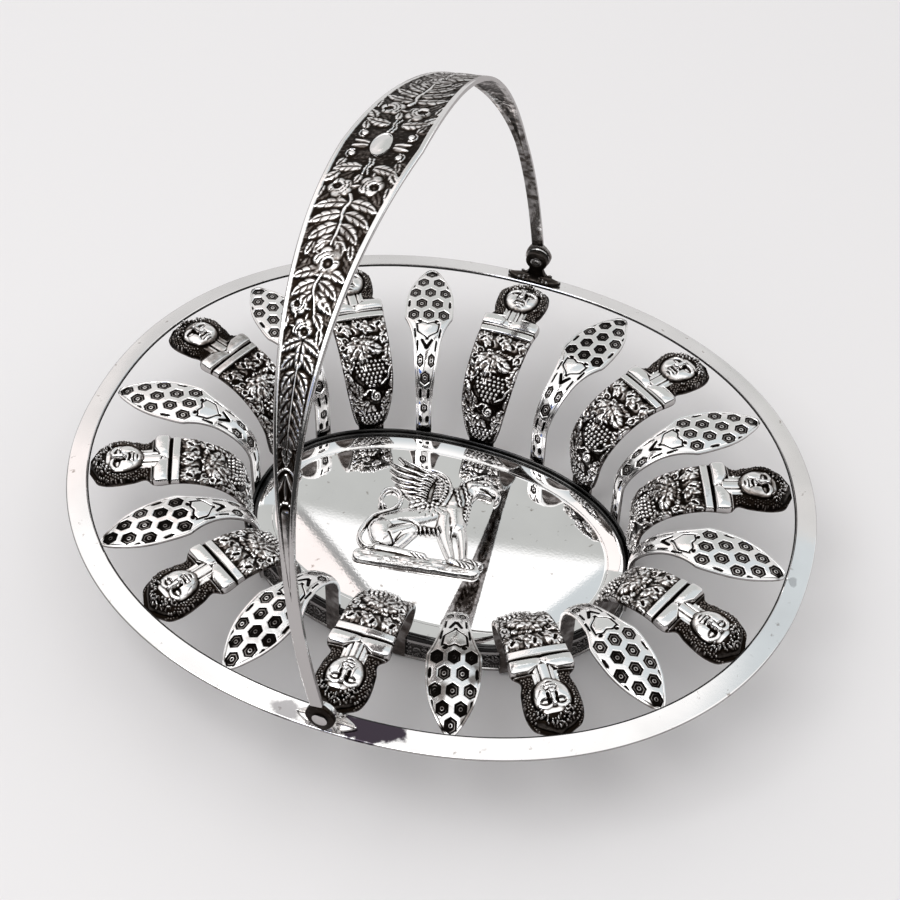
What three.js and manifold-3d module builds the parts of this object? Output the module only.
// Silver cake basket: an open oval basket of twenty curved strips between a base plate and a rim,
// with a swing handle riveted to two ears. Millimetres, +Z up, length along X, hinge line along Y,
// origin in the middle of the base on the table.
import * as THREE from 'three';
import Module from 'manifold-3d';
import { mergeVertices } from 'three/addons/utils/BufferGeometryUtils.js';

const wasm = await Module();
wasm.setup();

// Rim
const rimLength = 300;
const rimWidth = 255;
const rimOvalPower = 2.15;
const rimHeight = 46;
const flangeWidth = 8.2;
const flangeRise = 2.1;
const flangeSheet = 1.4;
const flangeEdgeRound = 0.9;
const lipWire = 1.6;

// Base
const footLength = 161;
const footWidth = 108;
const footOvalPower = 2.18;
const footWireHeight = 1.5;
const footWireWidth = 2.2;
const footWireBulge = 0.8;
const collarHeight = 8;
const collarSheet = 1.2;
const plateSheet = 1.1;
const plateBorder = 9.5;
const plateWellDepth = 0.4;
const plateWellSlope = 1.2;
const ringWidth = 3.4;
const ringHeight = 2;
const innerBeadHeight = 1.3;

// Strips
const stripCount = 20;
const stripSheet = 1.2;
const stripSpread = 2.5;
const flareHeight = 21.5;
const flareReach = 27;
const crestAboveLip = 3.6;
const hermShoulder = 12.4;
const hermHair = 11;
const hermFoot = 5.4;
const hermRelief = 4;
const vineRelief = 1.9;
const combBowl = 10.4;
const combStem = 3.3;
const combDome = 0.9;

// Griffin on the plate
const griffinTurn = THREE.MathUtils.degToRad(8.3);
const griffinRelief = 3.4;
const plinthLength = 58;
const plinthWidth = 6.4;
const plinthHeight = 2.2;
const drawnPlinth = 58;

// Hinges
const pivotAboveRim = 10.8;
const earInset = 1.6;
const earThickness = 2.6;
const bossDiameter = 9.6;
const lugLength = 24;
const lugWidth = 7;
const lugThickness = 1.6;
const rivetDiameter = 3.6;
const rivetHead = 5.8;
const rivetHeadHeight = 0.7;
const rivetTailHeight = 0.7;

// Handle
const handleRise = 156;
const handleArchPower = 2.22;
const handleLean = THREE.MathUtils.degToRad(9);
const handleSway = 3.5;
const handleSheet = 1.1;
const handleBorderHeight = 0.7;
const handleBorderWidth = 2.7;
const handleMiddleWidth = 30.3;
const handleStemWidth = 4.9;
const handleStemShare = 0.158;
const spadeWidth = 11.5;
const spadeThickness = 1.8;
const chasedRelief = 0.6;
const cartoucheLength = 12.6;
const cartoucheWidth = 7.2;
const cartoucheHeight = 1.3;

// Clearances
const seatGap = 0.2;
const turnedGap = 0.3;
const runningGap = 0.08;
const sideGap = 0.4;

// Steps round the shapes
const rimSteps = 72;
const footSteps = 52;
const roundSides = 18;
const wireSides = 4;
const beadSides = 3;
const handleSteps = 56;
const hermAcross = 6;
const combAcross = 2;

const silver = { color: 0xd9d9db, metalness: 1, roughness: 0.12 };
const darkSilver = { color: 0x8b8784, metalness: 1, roughness: 0.35 };

const rimInnerHeight = rimHeight + flangeRise;
const footTop = footWireHeight + seatGap + collarHeight;
const plateBottom = footTop + seatGap;
const plateTop = plateBottom + plateSheet + plateWellDepth;
const wellTop = plateTop - plateWellDepth;
const pivotHeight = rimHeight + pivotAboveRim;

const rimOval = { halfLength: rimLength / 2, halfWidth: rimWidth / 2, power: rimOvalPower };
const footOval = { halfLength: footLength / 2, halfWidth: footWidth / 2, power: footOvalPower };

function ovalPoint(oval, angle, outset = 0) {
  const c = Math.cos(angle);
  const s = Math.sin(angle);
  const x = (oval.halfLength + outset) * Math.sign(c) * Math.abs(c) ** (2 / oval.power);
  const y = (oval.halfWidth + outset) * Math.sign(s) * Math.abs(s) ** (2 / oval.power);
  return new THREE.Vector2(x, y);
}

function insideOval(oval, point, outset) {
  const x = Math.abs(point.x) / (oval.halfLength + outset);
  const y = Math.abs(point.y) / (oval.halfWidth + outset);
  return x ** oval.power + y ** oval.power < 1;
}

// Distance from a point along a direction to where it leaves the oval
function reach(oval, outset, from, direction) {
  let near = -40;
  let far = 160;
  for (let step = 0; step < 40; step++) {
    const middle = (near + far) / 2;
    const point = from.clone().addScaledVector(direction, middle);
    if (insideOval(oval, point, outset)) near = middle;
    else far = middle;
  }
  return near;
}

function makeMesh(name, geometry, look) {
  const mesh = new THREE.Mesh(geometry, new THREE.MeshStandardMaterial(look));
  mesh.name = name;
  return mesh;
}

// Skin over a row of equal point rings, joined in a loop or closed by end caps
function loft(rings, looped) {
  const size = rings[0].length;
  const positions = rings.flat().flatMap((point) => [point.x, point.y, point.z]);
  const index = [];
  const spans = looped ? rings.length : rings.length - 1;
  for (let i = 0; i < spans; i++) {
    const here = i * size;
    const next = ((i + 1) % rings.length) * size;
    for (let j = 0; j < size; j++) {
      const k = (j + 1) % size;
      index.push(here + j, here + k, next + k, here + j, next + k, next + j);
    }
  }
  if (!looped) {
    const last = (rings.length - 1) * size;
    for (let j = 1; j < size - 1; j++) {
      index.push(0, j + 1, j);
      index.push(last, last + j, last + j + 1);
    }
  }
  return finish(positions, index);
}

function finish(positions, index) {
  const geometry = new THREE.BufferGeometry();
  geometry.setAttribute('position', new THREE.Float32BufferAttribute(positions, 3));
  geometry.setIndex(index);
  geometry.computeVertexNormals();
  return geometry;
}

// Section of outset and height pairs carried round an oval, drawn anticlockwise
function ovalBand(oval, steps, section) {
  const rings = [];
  for (let i = 0; i < steps; i++) {
    const angle = -(i / steps) * 2 * Math.PI;
    rings.push(section.map(([outset, height]) => {
      const point = ovalPoint(oval, angle, outset);
      return new THREE.Vector3(point.x, point.y, height);
    }));
  }
  return loft(rings, true);
}

// Solid oval sheet whose section runs from the lower middle out and back to the upper middle
function ovalSheet(oval, steps, section) {
  const positions = [0, 0, section[0][1], 0, 0, section[section.length - 1][1]];
  const index = [];
  const size = section.length;
  for (let i = 0; i < steps; i++) {
    const angle = (i / steps) * 2 * Math.PI;
    const here = 2 + i * size;
    const next = 2 + ((i + 1) % steps) * size;
    section.forEach(([outset, height]) => {
      const point = ovalPoint(oval, angle, outset);
      positions.push(point.x, point.y, height);
    });
    index.push(0, next, here, 1, here + size - 1, next + size - 1);
    for (let j = 0; j < size - 1; j++) {
      index.push(here + j, next + j, next + j + 1, here + j, next + j + 1, here + j + 1);
    }
  }
  return finish(positions, index);
}

// Points along an elliptical arc
function arcPoints(x, y, halfWidth, halfHeight, from, to, sides) {
  const points = [];
  for (let i = 0; i <= sides; i++) {
    const angle = from + (to - from) * (i / sides);
    points.push([x + Math.cos(angle) * halfWidth, y + Math.sin(angle) * halfHeight]);
  }
  return points;
}

function toSolid(geometry) {
  const bare = geometry.clone();
  bare.deleteAttribute('normal');
  bare.deleteAttribute('uv');
  const merged = mergeVertices(bare, 1e-4);
  const vertProperties = new Float32Array(merged.attributes.position.array);
  const triVerts = new Uint32Array(merged.index.array);
  return new wasm.Manifold(new wasm.Mesh({ numProp: 3, vertProperties, triVerts }));
}

function fromSolid(solid) {
  const mesh = solid.getMesh();
  return finish(Array.from(mesh.vertProperties), Array.from(mesh.triVerts));
}

function join(geometries) {
  return fromSolid(geometries.map(toSolid).reduce((whole, piece) => whole.add(piece)));
}

function cut(geometry, tools) {
  return fromSolid(tools.map(toSolid).reduce((whole, tool) => whole.subtract(tool), toSolid(geometry)));
}

// Round piece with its axis along Y, between two Y positions
function roundAlongY(radius, from, to) {
  const cylinder = new THREE.CylinderGeometry(radius, radius, Math.abs(to - from), roundSides);
  return cylinder.translate(0, (from + to) / 2, 0);
}

// Middle of the lip wire, measured inwards from the rim's outer edge
const lipWireMiddle = -flangeWidth - lipWire / 2 - seatGap / 2;

function makeRim() {
  const half = flangeSheet / 2;
  const edgeHeight = rimHeight + flangeRise * flangeEdgeRound / flangeWidth;
  const flange = [
    [-flangeWidth, rimInnerHeight - half],
    [-flangeEdgeRound, edgeHeight - half],
    [0, rimHeight - half / 2],
    [0, rimHeight + half / 2],
    [-flangeEdgeRound, edgeHeight + half],
    [-flangeWidth, rimInnerHeight + half],
  ];
  const wire = arcPoints(lipWireMiddle, rimInnerHeight, lipWire / 2, lipWire / 2, 0, 2 * Math.PI, wireSides);
  wire.pop();
  return [
    makeMesh('rim_flange', ovalBand(rimOval, rimSteps, flange), silver),
    makeMesh('rim_lip_wire', ovalBand(rimOval, rimSteps, wire), silver),
  ];
}

function makeBase() {
  const wireMiddle = footWireHeight / 2;
  const wire = [
    [-footWireWidth, footWireHeight],
    [-footWireWidth, 0],
    ...arcPoints(0, wireMiddle, footWireBulge, wireMiddle, -Math.PI / 2, Math.PI / 2, beadSides),
  ];
  const collarBottom = footWireHeight + seatGap;
  const collar = [
    [-collarSheet, collarBottom],
    [0, collarBottom],
    [0, footTop],
    [-collarSheet, footTop],
  ];
  const wellEdge = -plateBorder - plateWellSlope;
  const plate = [
    [wellEdge, wellTop - plateSheet],
    [-plateBorder, plateBottom],
    [0, plateBottom],
    [0, plateTop],
    [-plateBorder, plateTop],
    [wellEdge, wellTop],
  ];
  const ringBottom = plateTop + seatGap;
  const bead = ringWidth / 4;
  const ring = [
    [-ringWidth, ringBottom],
    [0, ringBottom],
    ...arcPoints(-bead, ringBottom, bead, ringHeight, Math.PI / 6, Math.PI, beadSides),
    ...arcPoints(-bead * 3, ringBottom, bead, innerBeadHeight, Math.PI / 3, Math.PI * 5 / 6, beadSides - 1),
  ];
  return [
    makeMesh('foot_wire', ovalBand(footOval, footSteps, wire), silver),
    makeMesh('foot_collar', ovalBand(footOval, footSteps, collar), darkSilver),
    makeMesh('plate', ovalSheet(footOval, footSteps, plate), silver),
    makeMesh('plate_ring', ovalBand(footOval, footSteps, ring), silver),
  ];
}

// Where a strip stands: its foot on the collar, its heading, and how far out its tip lies
function stripPlace(number, footHalfWidth) {
  const even = (number / stripCount) * 2 * Math.PI;
  const angle = even + THREE.MathUtils.degToRad(stripSpread) * Math.sin(2 * even);
  const foot = ovalPoint(footOval, angle);
  const tip = ovalPoint(rimOval, angle, -flangeWidth);
  const heading = tip.clone().sub(foot).normalize();
  const side = new THREE.Vector2(-heading.y, heading.x);
  const starts = [-footHalfWidth, 0, footHalfWidth].map((shift) => {
    const from = foot.clone().addScaledVector(side, shift);
    return reach(footOval, seatGap, from, heading);
  });
  const start = Math.max(...starts);
  const run = reach(rimOval, lipWireMiddle, foot, heading) - start;
  foot.addScaledVector(heading, start);
  return { foot, heading, side, run };
}

// Side view of a strip's upper face: straight up the collar, round the flare, out to the lip wire
function stripPath(run) {
  const tipHeight = rimInnerHeight - lipWire / 2 - turnedGap;
  const crest = tipHeight + crestAboveLip;
  const path = new THREE.Path();
  path.moveTo(0, footWireHeight + seatGap);
  path.lineTo(0, crest - flareHeight);
  path.absellipse(flareReach, crest - flareHeight, flareReach, flareHeight, Math.PI, Math.PI / 2, true);
  path.quadraticCurveTo((flareReach + run) / 2, crest, run, tipHeight);
  return path;
}

// The relief ends above the collar, where the strip lies flat against it
const seatTop = plateTop + 1;
const seatFade = 3;

function seated(fromTip, length) {
  return smoothStep(seatTop, seatTop + seatFade, length - fromTip);
}

// Curved strip: stations give distance from the tip, relief gives the height above the face
function makeStrip(name, place, stations, across, halfWidth, relief, look) {
  const path = stripPath(place.run);
  const length = path.getLength();
  const fromTips = [...stations, length - seatTop - seatFade, length - seatTop, length];
  const rings = fromTips.map((fromTip) => {
    const along = 1 - Math.min(fromTip / length, 1);
    const point = path.getPoint(along);
    const ahead = path.getPoint(Math.min(along + 0.002, 1));
    const behind = path.getPoint(Math.max(along - 0.002, 0));
    const tangent = ahead.sub(behind).normalize();
    const normal = new THREE.Vector2(-tangent.y, tangent.x);
    const half = halfWidth(fromTip, length);
    const place3 = (sideways, lift) => {
      const out = point.x + normal.x * lift;
      const flat = place.foot.clone().addScaledVector(place.heading, out);
      flat.addScaledVector(place.side, sideways);
      return new THREE.Vector3(flat.x, flat.y, point.y + normal.y * lift);
    };
    const ring = [];
    for (let j = 0; j <= across; j++) {
      const share = (2 * j) / across - 1;
      ring.push(place3(share * half, relief(fromTip, share, length)));
    }
    ring.push(place3(half, -stripSheet), place3(-half, -stripSheet));
    return ring;
  });
  return makeMesh(name, loft(rings, false), look);
}

function smoothStep(low, high, value) {
  return THREE.MathUtils.smoothstep(value, low, high);
}

// Half width at a distance from the tip, read off a smooth curve through the given sizes
function widthCurve(sizes) {
  const curve = new THREE.SplineCurve(sizes.map(([distance, half]) => new THREE.Vector2(distance, half)));
  const points = curve.getPoints(sizes.length * 8);
  return (distance) => {
    const next = Math.max(points.findIndex((point) => point.x >= distance), 1);
    const low = points[next - 1];
    const high = points[next];
    const share = THREE.MathUtils.clamp((distance - low.x) / (high.x - low.x), 0, 1);
    return THREE.MathUtils.lerp(low.y, high.y, share);
  };
}

// Herm strip: head with hair, neck, draped shoulders and girdle over a tapering shaft
const headMiddle = 12;
const chin = 21.5;
const shoulderLine = 25;
const girdleTop = 32;
const girdleBottom = 35;
const pastFoot = 120;
const bustStations = [0, 1.4, 4, 8, 12, 16, 20, 22, 24.5, 28, 31.4, 32, 35, 35.5];
const shaftStations = [37, 41, 45, 49, 53.5, 57.5, 62, 66.5, 70, 74, 79.5];
const hermStations = [...bustStations, ...shaftStations];
const hermWidth = widthCurve([
  [0, hermHair * 0.3],
  [1.4, hermHair * 0.52],
  [4, hermHair * 0.85],
  [headMiddle - 2, hermHair],
  [18, hermHair * 0.95],
  [23, hermHair * 0.84],
  [shoulderLine + 1, hermShoulder * 0.96],
  [29, hermShoulder],
  [girdleBottom, hermShoulder * 0.94],
  [45, hermShoulder * 0.9],
  [65, hermShoulder * 0.82],
  [81, hermFoot * 1.5],
  [90, hermFoot * 1.13],
  [97, hermFoot],
  [pastFoot, hermFoot],
]);

// The shaft draws in to the foot's own width before it meets the base
const drawnIn = 0.5;

function hermHalf(fromTip, length) {
  const aboveSeat = Math.max(length - fromTip - seatTop, 0);
  return Math.min(hermWidth(fromTip), hermFoot + aboveSeat * drawnIn);
}

// Rounded mass of carving at a distance from the tip, set aside from the middle line
function mass(fromTip, across, { at, aside, tall, wide, high }) {
  const round = 1 - ((fromTip - at) / tall) ** 2 - ((across - aside) / wide) ** 2;
  return Math.sqrt(Math.max(round, 0)) * high * vineRelief;
}

const leafTips = { at: 41, aside: 0, tall: 4, wide: 14, high: 0.62 };
const vineLeaf = { at: 52, aside: 1.5, tall: 6, wide: 9, high: 1 };
const grapeBunch = { at: 62.5, aside: -1.5, tall: 6, wide: 8, high: 1.05 };
const tendril = { at: 73, aside: -1, tall: 5, wide: 8, high: 0.7 };
const lowerBunch = { at: 83, aside: 0, tall: 8, wide: 7, high: 0.95 };
const carving = [leafTips, vineLeaf, grapeBunch, tendril, lowerBunch];

function hermRise(fromTip, share, length) {
  if (fromTip < 1.5 || Math.abs(share) > 0.99) return 0;
  const across = share * hermHalf(fromTip, length);
  const headRound = 1 - ((fromTip - headMiddle) / 11) ** 2 - (across / hermHair) ** 2;
  const head = Math.sqrt(Math.max(headRound, 0)) * hermRelief;
  const neckRound = 1 - (across / (hermHair * 0.45)) ** 2;
  const onNeck = fromTip > headMiddle && fromTip < shoulderLine;
  const neck = onNeck ? Math.max(neckRound, 0) * hermRelief * 0.5 : 0;
  const bust = smoothStep(chin, shoulderLine, fromTip) * smoothStep(-girdleTop, -shoulderLine, -fromTip);
  const shoulders = bust * (1 - share ** 2 * 0.5) * hermRelief * 0.65;
  const girdle = fromTip >= girdleTop && fromTip <= girdleBottom ? hermRelief * 0.5 : 0;
  const masses = carving.map((form) => mass(fromTip, across, form));
  const shaft = fromTip > girdleBottom ? Math.max(...masses) : 0;
  return Math.max(head, neck, shoulders, girdle, shaft) * seated(fromTip, length);
}

// Honeycomb strip: a spoon-shaped bowl that narrows through shoulders to a stem
const combStations = [0, 2, 6, 12, 19, 27, 33, 35.5, 40, 47, 55, 63, 72];
const combWidth = widthCurve([
  [0, combBowl * 0.12],
  [2, combBowl * 0.29],
  [6, combBowl * 0.51],
  [12, combBowl * 0.77],
  [19, combBowl * 0.94],
  [27, combBowl],
  [33, combBowl * 0.98],
  [35.5, combBowl * 0.88],
  [40, combBowl * 0.71],
  [47, combStem * 1.73],
  [55, combStem * 1.45],
  [63, combStem * 1.22],
  [72, combStem * 1.04],
  [85, combStem],
  [pastFoot, combStem],
]);

function combRise(fromTip, share, length) {
  return smoothStep(1, 6, fromTip) * (1 - share ** 2) * combDome * seated(fromTip, length);
}

function makeStrips() {
  const strips = [];
  for (let i = 0; i < stripCount; i++) {
    const herm = i % 2 === 1;
    const count = String((i - (i % 2)) / 2 + 1).padStart(2, '0');
    const place = stripPlace(i, herm ? hermFoot : combStem);
    if (herm) {
      const shape = [hermStations, hermAcross, hermHalf, hermRise];
      strips.push(makeStrip(`herm_strip_${count}`, place, ...shape, darkSilver));
    } else {
      const shape = [combStations, combAcross, combWidth, combRise];
      strips.push(makeStrip(`honeycomb_strip_${count}`, place, ...shape, silver));
    }
  }
  return strips;
}

// Rounded ridge lying on the plate along a curve, given as x, y and half width
function ridge(spots, height, stations) {
  const path = new THREE.CatmullRomCurve3(spots.map(([x, y, half]) => new THREE.Vector3(x, y, half)));
  const rings = [];
  for (let i = 0; i <= stations; i++) {
    const along = i / stations;
    const spot = path.getPoint(along);
    const tangent = path.getTangent(along);
    const side = new THREE.Vector2(-tangent.y, tangent.x).normalize();
    const rounding = i === 0 || i === stations ? 0.55 : 1;
    const ring = [];
    for (let j = 0; j <= 4; j++) {
      const angle = (j / 4) * Math.PI;
      const sideways = Math.cos(angle) * spot.z * rounding;
      const lift = Math.sin(angle) * height * rounding;
      ring.push(new THREE.Vector3(spot.x + side.x * sideways, spot.y + side.y * sideways, lift));
    }
    rings.push(ring);
  }
  const first = rings[0].map((point) => point.clone());
  const last = rings[stations].map((point) => point.clone());
  const start = path.getPoint(0);
  const end = path.getPoint(1);
  const startTangent = path.getTangent(0).setZ(0).normalize();
  const endTangent = path.getTangent(1).setZ(0).normalize();
  rings[0].forEach((point, j) => point.copy(first[j]).addScaledVector(startTangent, -start.z * 0.7));
  rings[stations].forEach((point, j) => point.copy(last[j]).addScaledVector(endTangent, end.z * 0.7));
  return loft(rings, false);
}

// The animal is drawn for a plinth of the drawn length, and grows or shrinks with the real one
function makeGriffin() {
  const size = plinthLength / drawnPlinth;
  const high = griffinRelief;
  const low = griffinRelief * 0.6;
  const pieces = [
    ridge([[-22, 2.5, 6.2], [-9, 6, 5.8], [2, 12, 7]], high * 0.8, 5),
    ridge([[-22.5, -3, 6.5], [-16, -1.5, 5.4], [-10.5, -0.5, 3.2]], high, 4),
    ridge([[-10.8, -1.8, 2.4], [-15.5, -9, 1.8]], low, 2),
    ridge([[-23, -12.2, 1.9], [-14, -12.6, 1.8], [-5.5, -13, 2.4]], low, 3),
    ridge([[2.5, 15, 6.5], [5.6, 6, 4.2]], high * 0.95, 3),
    ridge([[1.5, 9, 4.6], [3.2, -1, 2.5], [7, -11, 1.8]], high * 0.9, 4),
    ridge([[7.5, -13, 2.2], [14.5, -14.6, 2.4]], low * 1.1, 2),
    ridge([[7, 5, 3], [10, -1, 2], [12.2, -9.5, 1.6]], low, 3),
    ridge([[13, -11.5, 1.9], [19, -12.5, 1.9]], low, 2),
    ridge([[3, 17, 6.2], [7.5, 26, 4.8]], high * 0.9, 3),
    ridge([[8.5, 28, 4.6], [14.5, 28.5, 4]], high, 3),
    ridge([[15.5, 27.4, 3], [18.8, 25, 1.9], [18.8, 21.8, 0.7]], high * 0.7, 3),
    ridge([[4.5, 28.5, 2], [9.5, 31.5, 2], [14.5, 33.6, 0.8]], high * 0.8, 3),
    ridge([[-13.5, 13, 4.6], [-3.5, 13.5, 5.2]], high * 1.15, 3),
    ridge([[-2.5, 18, 3], [-3, 26, 3.2], [-7, 31, 2.6], [-14, 33, 1.6]], high, 5),
  ];
  const featherTips = [
    [-26, 38], [-27.5, 34.6], [-27.3, 31], [-26, 27.4], [-24, 24], [-21.5, 21], [-18, 18.4],
  ];
  featherTips.forEach(([x, y], i) => {
    const rootY = 31 - i * 2;
    pieces.push(ridge([[-6, rootY, 1.4], [(x - 6) / 2, (y + rootY) / 2 + 0.6, 1.6], [x, y, 1]], low, 3));
  });
  const tail = [
    [-24, -9, 1.2], [-27.4, -11.9, 1], [-30.9, -10, 0.9], [-32.2, -6, 0.9], [-31.2, -1, 0.9],
    [-28.6, 4.4, 0.9], [-24.8, 7.2, 0.9], [-21.3, 9.8, 0.9], [-19.4, 14, 0.9], [-20.2, 18.4, 0.9],
    [-23.3, 20.4, 0.9], [-26.6, 19, 0.9], [-27.6, 15.4, 1], [-26.4, 11.6, 1.4], [-24.2, 9, 1.2],
  ];
  pieces.push(ridge(tail, low * 0.7, 22));
  const animal = join(pieces).scale(size, size, 1);
  const plinthEnd = plinthWidth / 2;
  const plinthShape = new THREE.Shape();
  plinthShape.absarc(-plinthLength / 2 + plinthEnd, 0, plinthEnd, Math.PI / 2, Math.PI * 1.5, false);
  plinthShape.absarc(plinthLength / 2 - plinthEnd, 0, plinthEnd, -Math.PI / 2, Math.PI / 2, false);
  const plinthSolid = { depth: plinthHeight, bevelEnabled: false, curveSegments: 6 };
  const plinth = new THREE.ExtrudeGeometry(plinthShape, plinthSolid);
  plinth.translate(-6.4 * size, -16.6 * size, 0);
  const mesh = makeMesh('griffin_plaque', join([animal, plinth]), silver);
  mesh.position.z = wellTop + turnedGap;
  mesh.rotation.z = griffinTurn;
  return mesh;
}

// Hinge lug: a pointed leaf on the flange with an upright ear that ends in a round boss
function makeLug(name, sign) {
  const earMiddle = rimWidth / 2 - earInset;
  const leafMiddle = rimWidth / 2 - flangeWidth / 2;
  const leafHeight = (rimHeight + rimInnerHeight) / 2 + flangeSheet / 2 + turnedGap;
  const leafShape = new THREE.Shape();
  leafShape.moveTo(-lugLength / 2, 0);
  leafShape.quadraticCurveTo(-lugLength * 0.22, lugWidth * 0.62, 0, lugWidth / 2);
  leafShape.quadraticCurveTo(lugLength * 0.22, lugWidth * 0.62, lugLength / 2, 0);
  leafShape.quadraticCurveTo(lugLength * 0.22, -lugWidth * 0.62, 0, -lugWidth / 2);
  leafShape.quadraticCurveTo(-lugLength * 0.22, -lugWidth * 0.62, -lugLength / 2, 0);
  const leafSolid = { depth: lugThickness, bevelEnabled: false, curveSegments: 5 };
  const leaf = new THREE.ExtrudeGeometry(leafShape, leafSolid);
  leaf.rotateX(-sign * Math.atan2(flangeRise, flangeWidth));
  leaf.translate(0, sign * leafMiddle, leafHeight);
  const earShape = new THREE.Shape();
  const neck = bossDiameter * 0.32;
  const earFoot = leafHeight - pivotHeight + lugThickness * 0.4;
  earShape.moveTo(-bossDiameter / 2, earFoot);
  earShape.lineTo(bossDiameter / 2, earFoot);
  earShape.quadraticCurveTo(neck, -bossDiameter / 2, neck, -bossDiameter / 3);
  earShape.lineTo(neck, 0);
  earShape.lineTo(-neck, 0);
  earShape.lineTo(-neck, -bossDiameter / 3);
  earShape.quadraticCurveTo(-neck, -bossDiameter / 2, -bossDiameter / 2, earFoot);
  const earSolid = { depth: earThickness * 0.8, bevelEnabled: false, curveSegments: 4 };
  const ear = new THREE.ExtrudeGeometry(earShape, earSolid);
  ear.rotateX(Math.PI / 2);
  ear.translate(0, sign * earMiddle + earThickness * 0.4, pivotHeight);
  const from = sign * earMiddle - earThickness / 2;
  const boss = roundAlongY(bossDiameter / 2, from, from + earThickness).translate(0, 0, pivotHeight);
  const bore = roundAlongY(rivetDiameter / 2 + runningGap, from - 1, from + earThickness + 1);
  bore.translate(0, 0, pivotHeight);
  return makeMesh(name, cut(join([leaf, ear, boss]), [bore]), darkSilver);
}

const earOuterFace = rimWidth / 2 - earInset + earThickness / 2;
const earInnerFace = earOuterFace - earThickness;
const spadeInnerFace = earOuterFace + sideGap;
const spadeOuterFace = spadeInnerFace + spadeThickness;

// Rivet through ear and handle end, with a domed head outside and a small spread tail inside
function makeRivet(name, sign) {
  const headStart = spadeOuterFace + sideGap;
  const tailStart = earInnerFace - seatGap;
  const shaft = rivetDiameter / 2;
  const profile = [
    [0, tailStart - rivetTailHeight],
    [shaft * 1.15, tailStart - rivetTailHeight],
    [shaft * 1.4, tailStart],
    [shaft, tailStart],
    [shaft, headStart],
    [rivetHead / 2, headStart],
    [rivetHead * 0.36, headStart + rivetHeadHeight * 0.75],
    [0, headStart + rivetHeadHeight],
  ].map(([radius, along]) => new THREE.Vector2(radius, along));
  const rivet = new THREE.LatheGeometry(profile, roundSides);
  if (sign < 0) rivet.rotateX(Math.PI);
  rivet.translate(0, 0, pivotHeight);
  return makeMesh(name, rivet, darkSilver);
}

// Handle arch: a superellipse from pivot to pivot, with the band's outer face on the outside.
// The bent band sways a little to one side in front and to the other side at the back.
function archPoint(angle) {
  const halfSpan = (spadeInnerFace + spadeOuterFace) / 2;
  const y = -halfSpan * Math.sign(Math.cos(angle)) * Math.abs(Math.cos(angle)) ** (2 / handleArchPower);
  const z = handleRise * Math.abs(Math.sin(angle)) ** (2 / handleArchPower);
  return new THREE.Vector3(0, y, z);
}

function handleHalfWidth(share) {
  const fromEnd = Math.min(share, 1 - share);
  const u = THREE.MathUtils.clamp((fromEnd - handleStemShare) / (0.5 - handleStemShare), 0, 1);
  const blend = 0.5 * u + 0.25 * (1 - Math.cos(Math.PI * u));
  return THREE.MathUtils.lerp(handleStemWidth, handleMiddleWidth, blend) / 2;
}

// Height of the chased leaves and flowers, which swell and sink in turn from the arch's middle down
const cartoucheField = 11;
const flowerPitch = 15.5;

function chasing(fromMiddle, side) {
  if (fromMiddle < cartoucheField) return side === 0 ? 0 : chasedRelief * 0.5;
  const swell = Math.cos(((fromMiddle - cartoucheField) / flowerPitch - 0.6) * Math.PI * 2);
  return chasedRelief * (0.7 + 0.3 * swell) * (1 - Math.abs(side) * 0.3);
}

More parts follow.
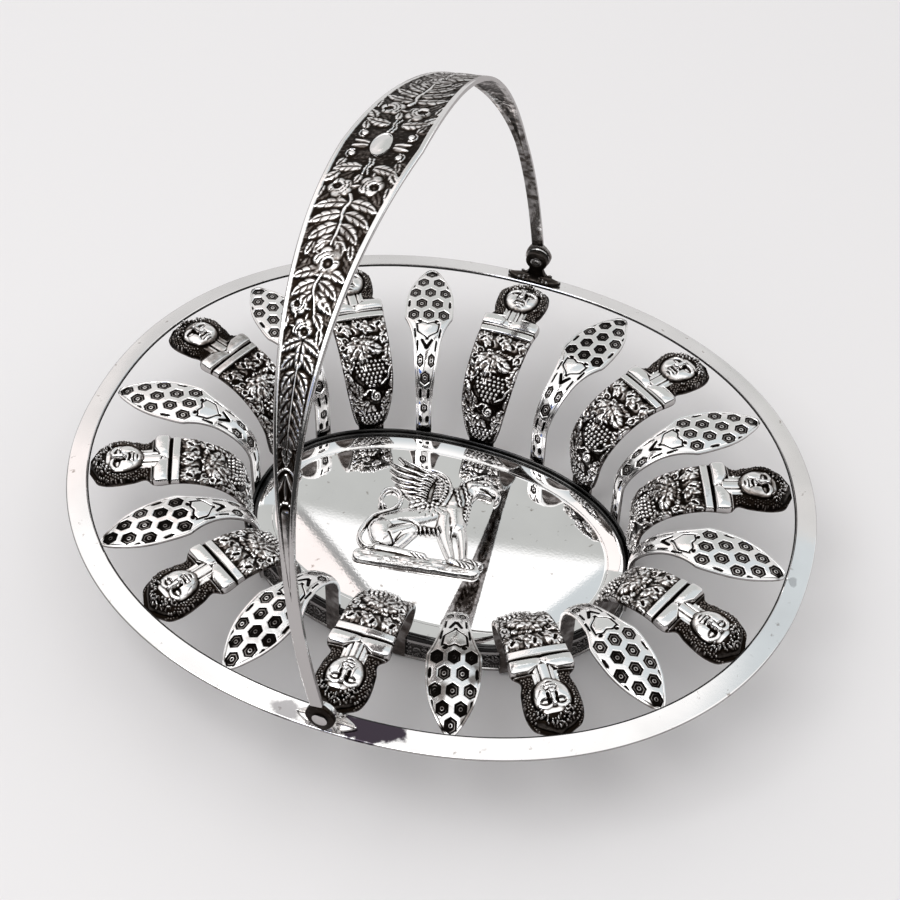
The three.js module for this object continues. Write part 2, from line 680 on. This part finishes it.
function makeHandle() {
  const spadeReach = spadeWidth / 2 + 1;
  const points = [];
  for (let i = 0; i <= 400; i++) {
    points.push(archPoint((i / 400) * Math.PI));
  }
  const arch = new THREE.CatmullRomCurve3(points);
  arch.arcLengthDivisions = 800;
  const length = arch.getLength();
  const startShare = (spadeReach + turnedGap) / length;
  const rings = [];
  for (let i = 0; i <= handleSteps; i++) {
    const share = startShare + (1 - 2 * startShare) * (i / handleSteps);
    const point = arch.getPointAt(share).setX(handleSway * Math.sin((share - 0.5) * Math.PI * 2));
    const tangent = arch.getTangentAt(share);
    const outward = new THREE.Vector3(0, -tangent.z, tangent.y);
    const half = handleHalfWidth(share);
    const border = Math.min(handleBorderWidth, half * 0.9);
    const floor = half - border;
    const depth = handleBorderHeight * smoothStep(0.1, 1.2, floor);
    const top = (handleSheet + handleBorderHeight) / 2;
    const fromMiddle = Math.abs(share - 0.5) * length;
    const at = (x, lift) => new THREE.Vector3(x, 0, 0).add(point).addScaledVector(outward, lift);
    const chased = [-0.5, 0, 0.5].map((side) => {
      return at(side * floor, top - depth + chasing(fromMiddle, side) * smoothStep(1.5, 4, floor));
    });
    rings.push([
      at(-half, -top), at(-half, top), at(-floor, top), at(-floor + 0.05, top - depth),
      ...chased, at(floor - 0.05, top - depth), at(floor, top), at(half, top), at(half, -top),
    ]);
  }
  const band = makeMesh('handle_band', loft(rings, false), silver);

  const ovalShape = new THREE.Shape();
  ovalShape.absellipse(0, 0, cartoucheWidth / 2, cartoucheLength / 2, 0, Math.PI * 2);
  const plaque = new THREE.ExtrudeGeometry(ovalShape, {
    depth: cartoucheHeight * 0.4, bevelThickness: cartoucheHeight * 0.6, bevelSize: 0.8, bevelOffset: -0.8,
    bevelSegments: 1, curveSegments: 10,
  });
  const cartouche = makeMesh('handle_cartouche', plaque, silver);
  const floorHeight = (handleSheet + handleBorderHeight) / 2 - handleBorderHeight;
  cartouche.position.z = handleRise + floorHeight + cartoucheHeight * 0.6 + turnedGap;

  const ends = [['handle_end_front', -1], ['handle_end_back', 1]].map(([name, sign]) => {
    const shape = new THREE.Shape();
    const reachDown = spadeWidth * 0.62;
    shape.moveTo(-handleStemWidth / 2, spadeReach);
    shape.quadraticCurveTo(-spadeWidth / 2, spadeWidth * 0.3, -spadeWidth / 2, 0);
    shape.quadraticCurveTo(-spadeWidth * 0.42, -spadeWidth * 0.35, 0, -reachDown);
    shape.quadraticCurveTo(spadeWidth * 0.42, -spadeWidth * 0.35, spadeWidth / 2, 0);
    shape.quadraticCurveTo(spadeWidth / 2, spadeWidth * 0.3, handleStemWidth / 2, spadeReach);
    const spadeSolid = { depth: spadeThickness, bevelEnabled: false, curveSegments: 5 };
    const spade = new THREE.ExtrudeGeometry(shape, spadeSolid);
    spade.rotateX(Math.PI / 2);
    spade.translate(0, sign > 0 ? spadeOuterFace : -spadeInnerFace, 0);
    const boreRadius = rivetDiameter / 2 + runningGap;
    const bore = roundAlongY(boreRadius, sign * (spadeInnerFace - 1), sign * (spadeOuterFace + 1));
    return makeMesh(name, cut(spade, [bore]), silver);
  });

  const handle = new THREE.Group();
  handle.position.z = pivotHeight;
  handle.rotation.y = -handleLean;
  handle.add(band, cartouche, ...ends);
  return handle;
}

const basket = new THREE.Group();
basket.add(...makeRim(), ...makeBase(), ...makeStrips(), makeGriffin());
basket.add(makeLug('hinge_lug_front', -1), makeLug('hinge_lug_back', 1));
basket.add(makeRivet('pivot_rivet_front', -1), makeRivet('pivot_rivet_back', 1));
basket.add(makeHandle());

export default basket;
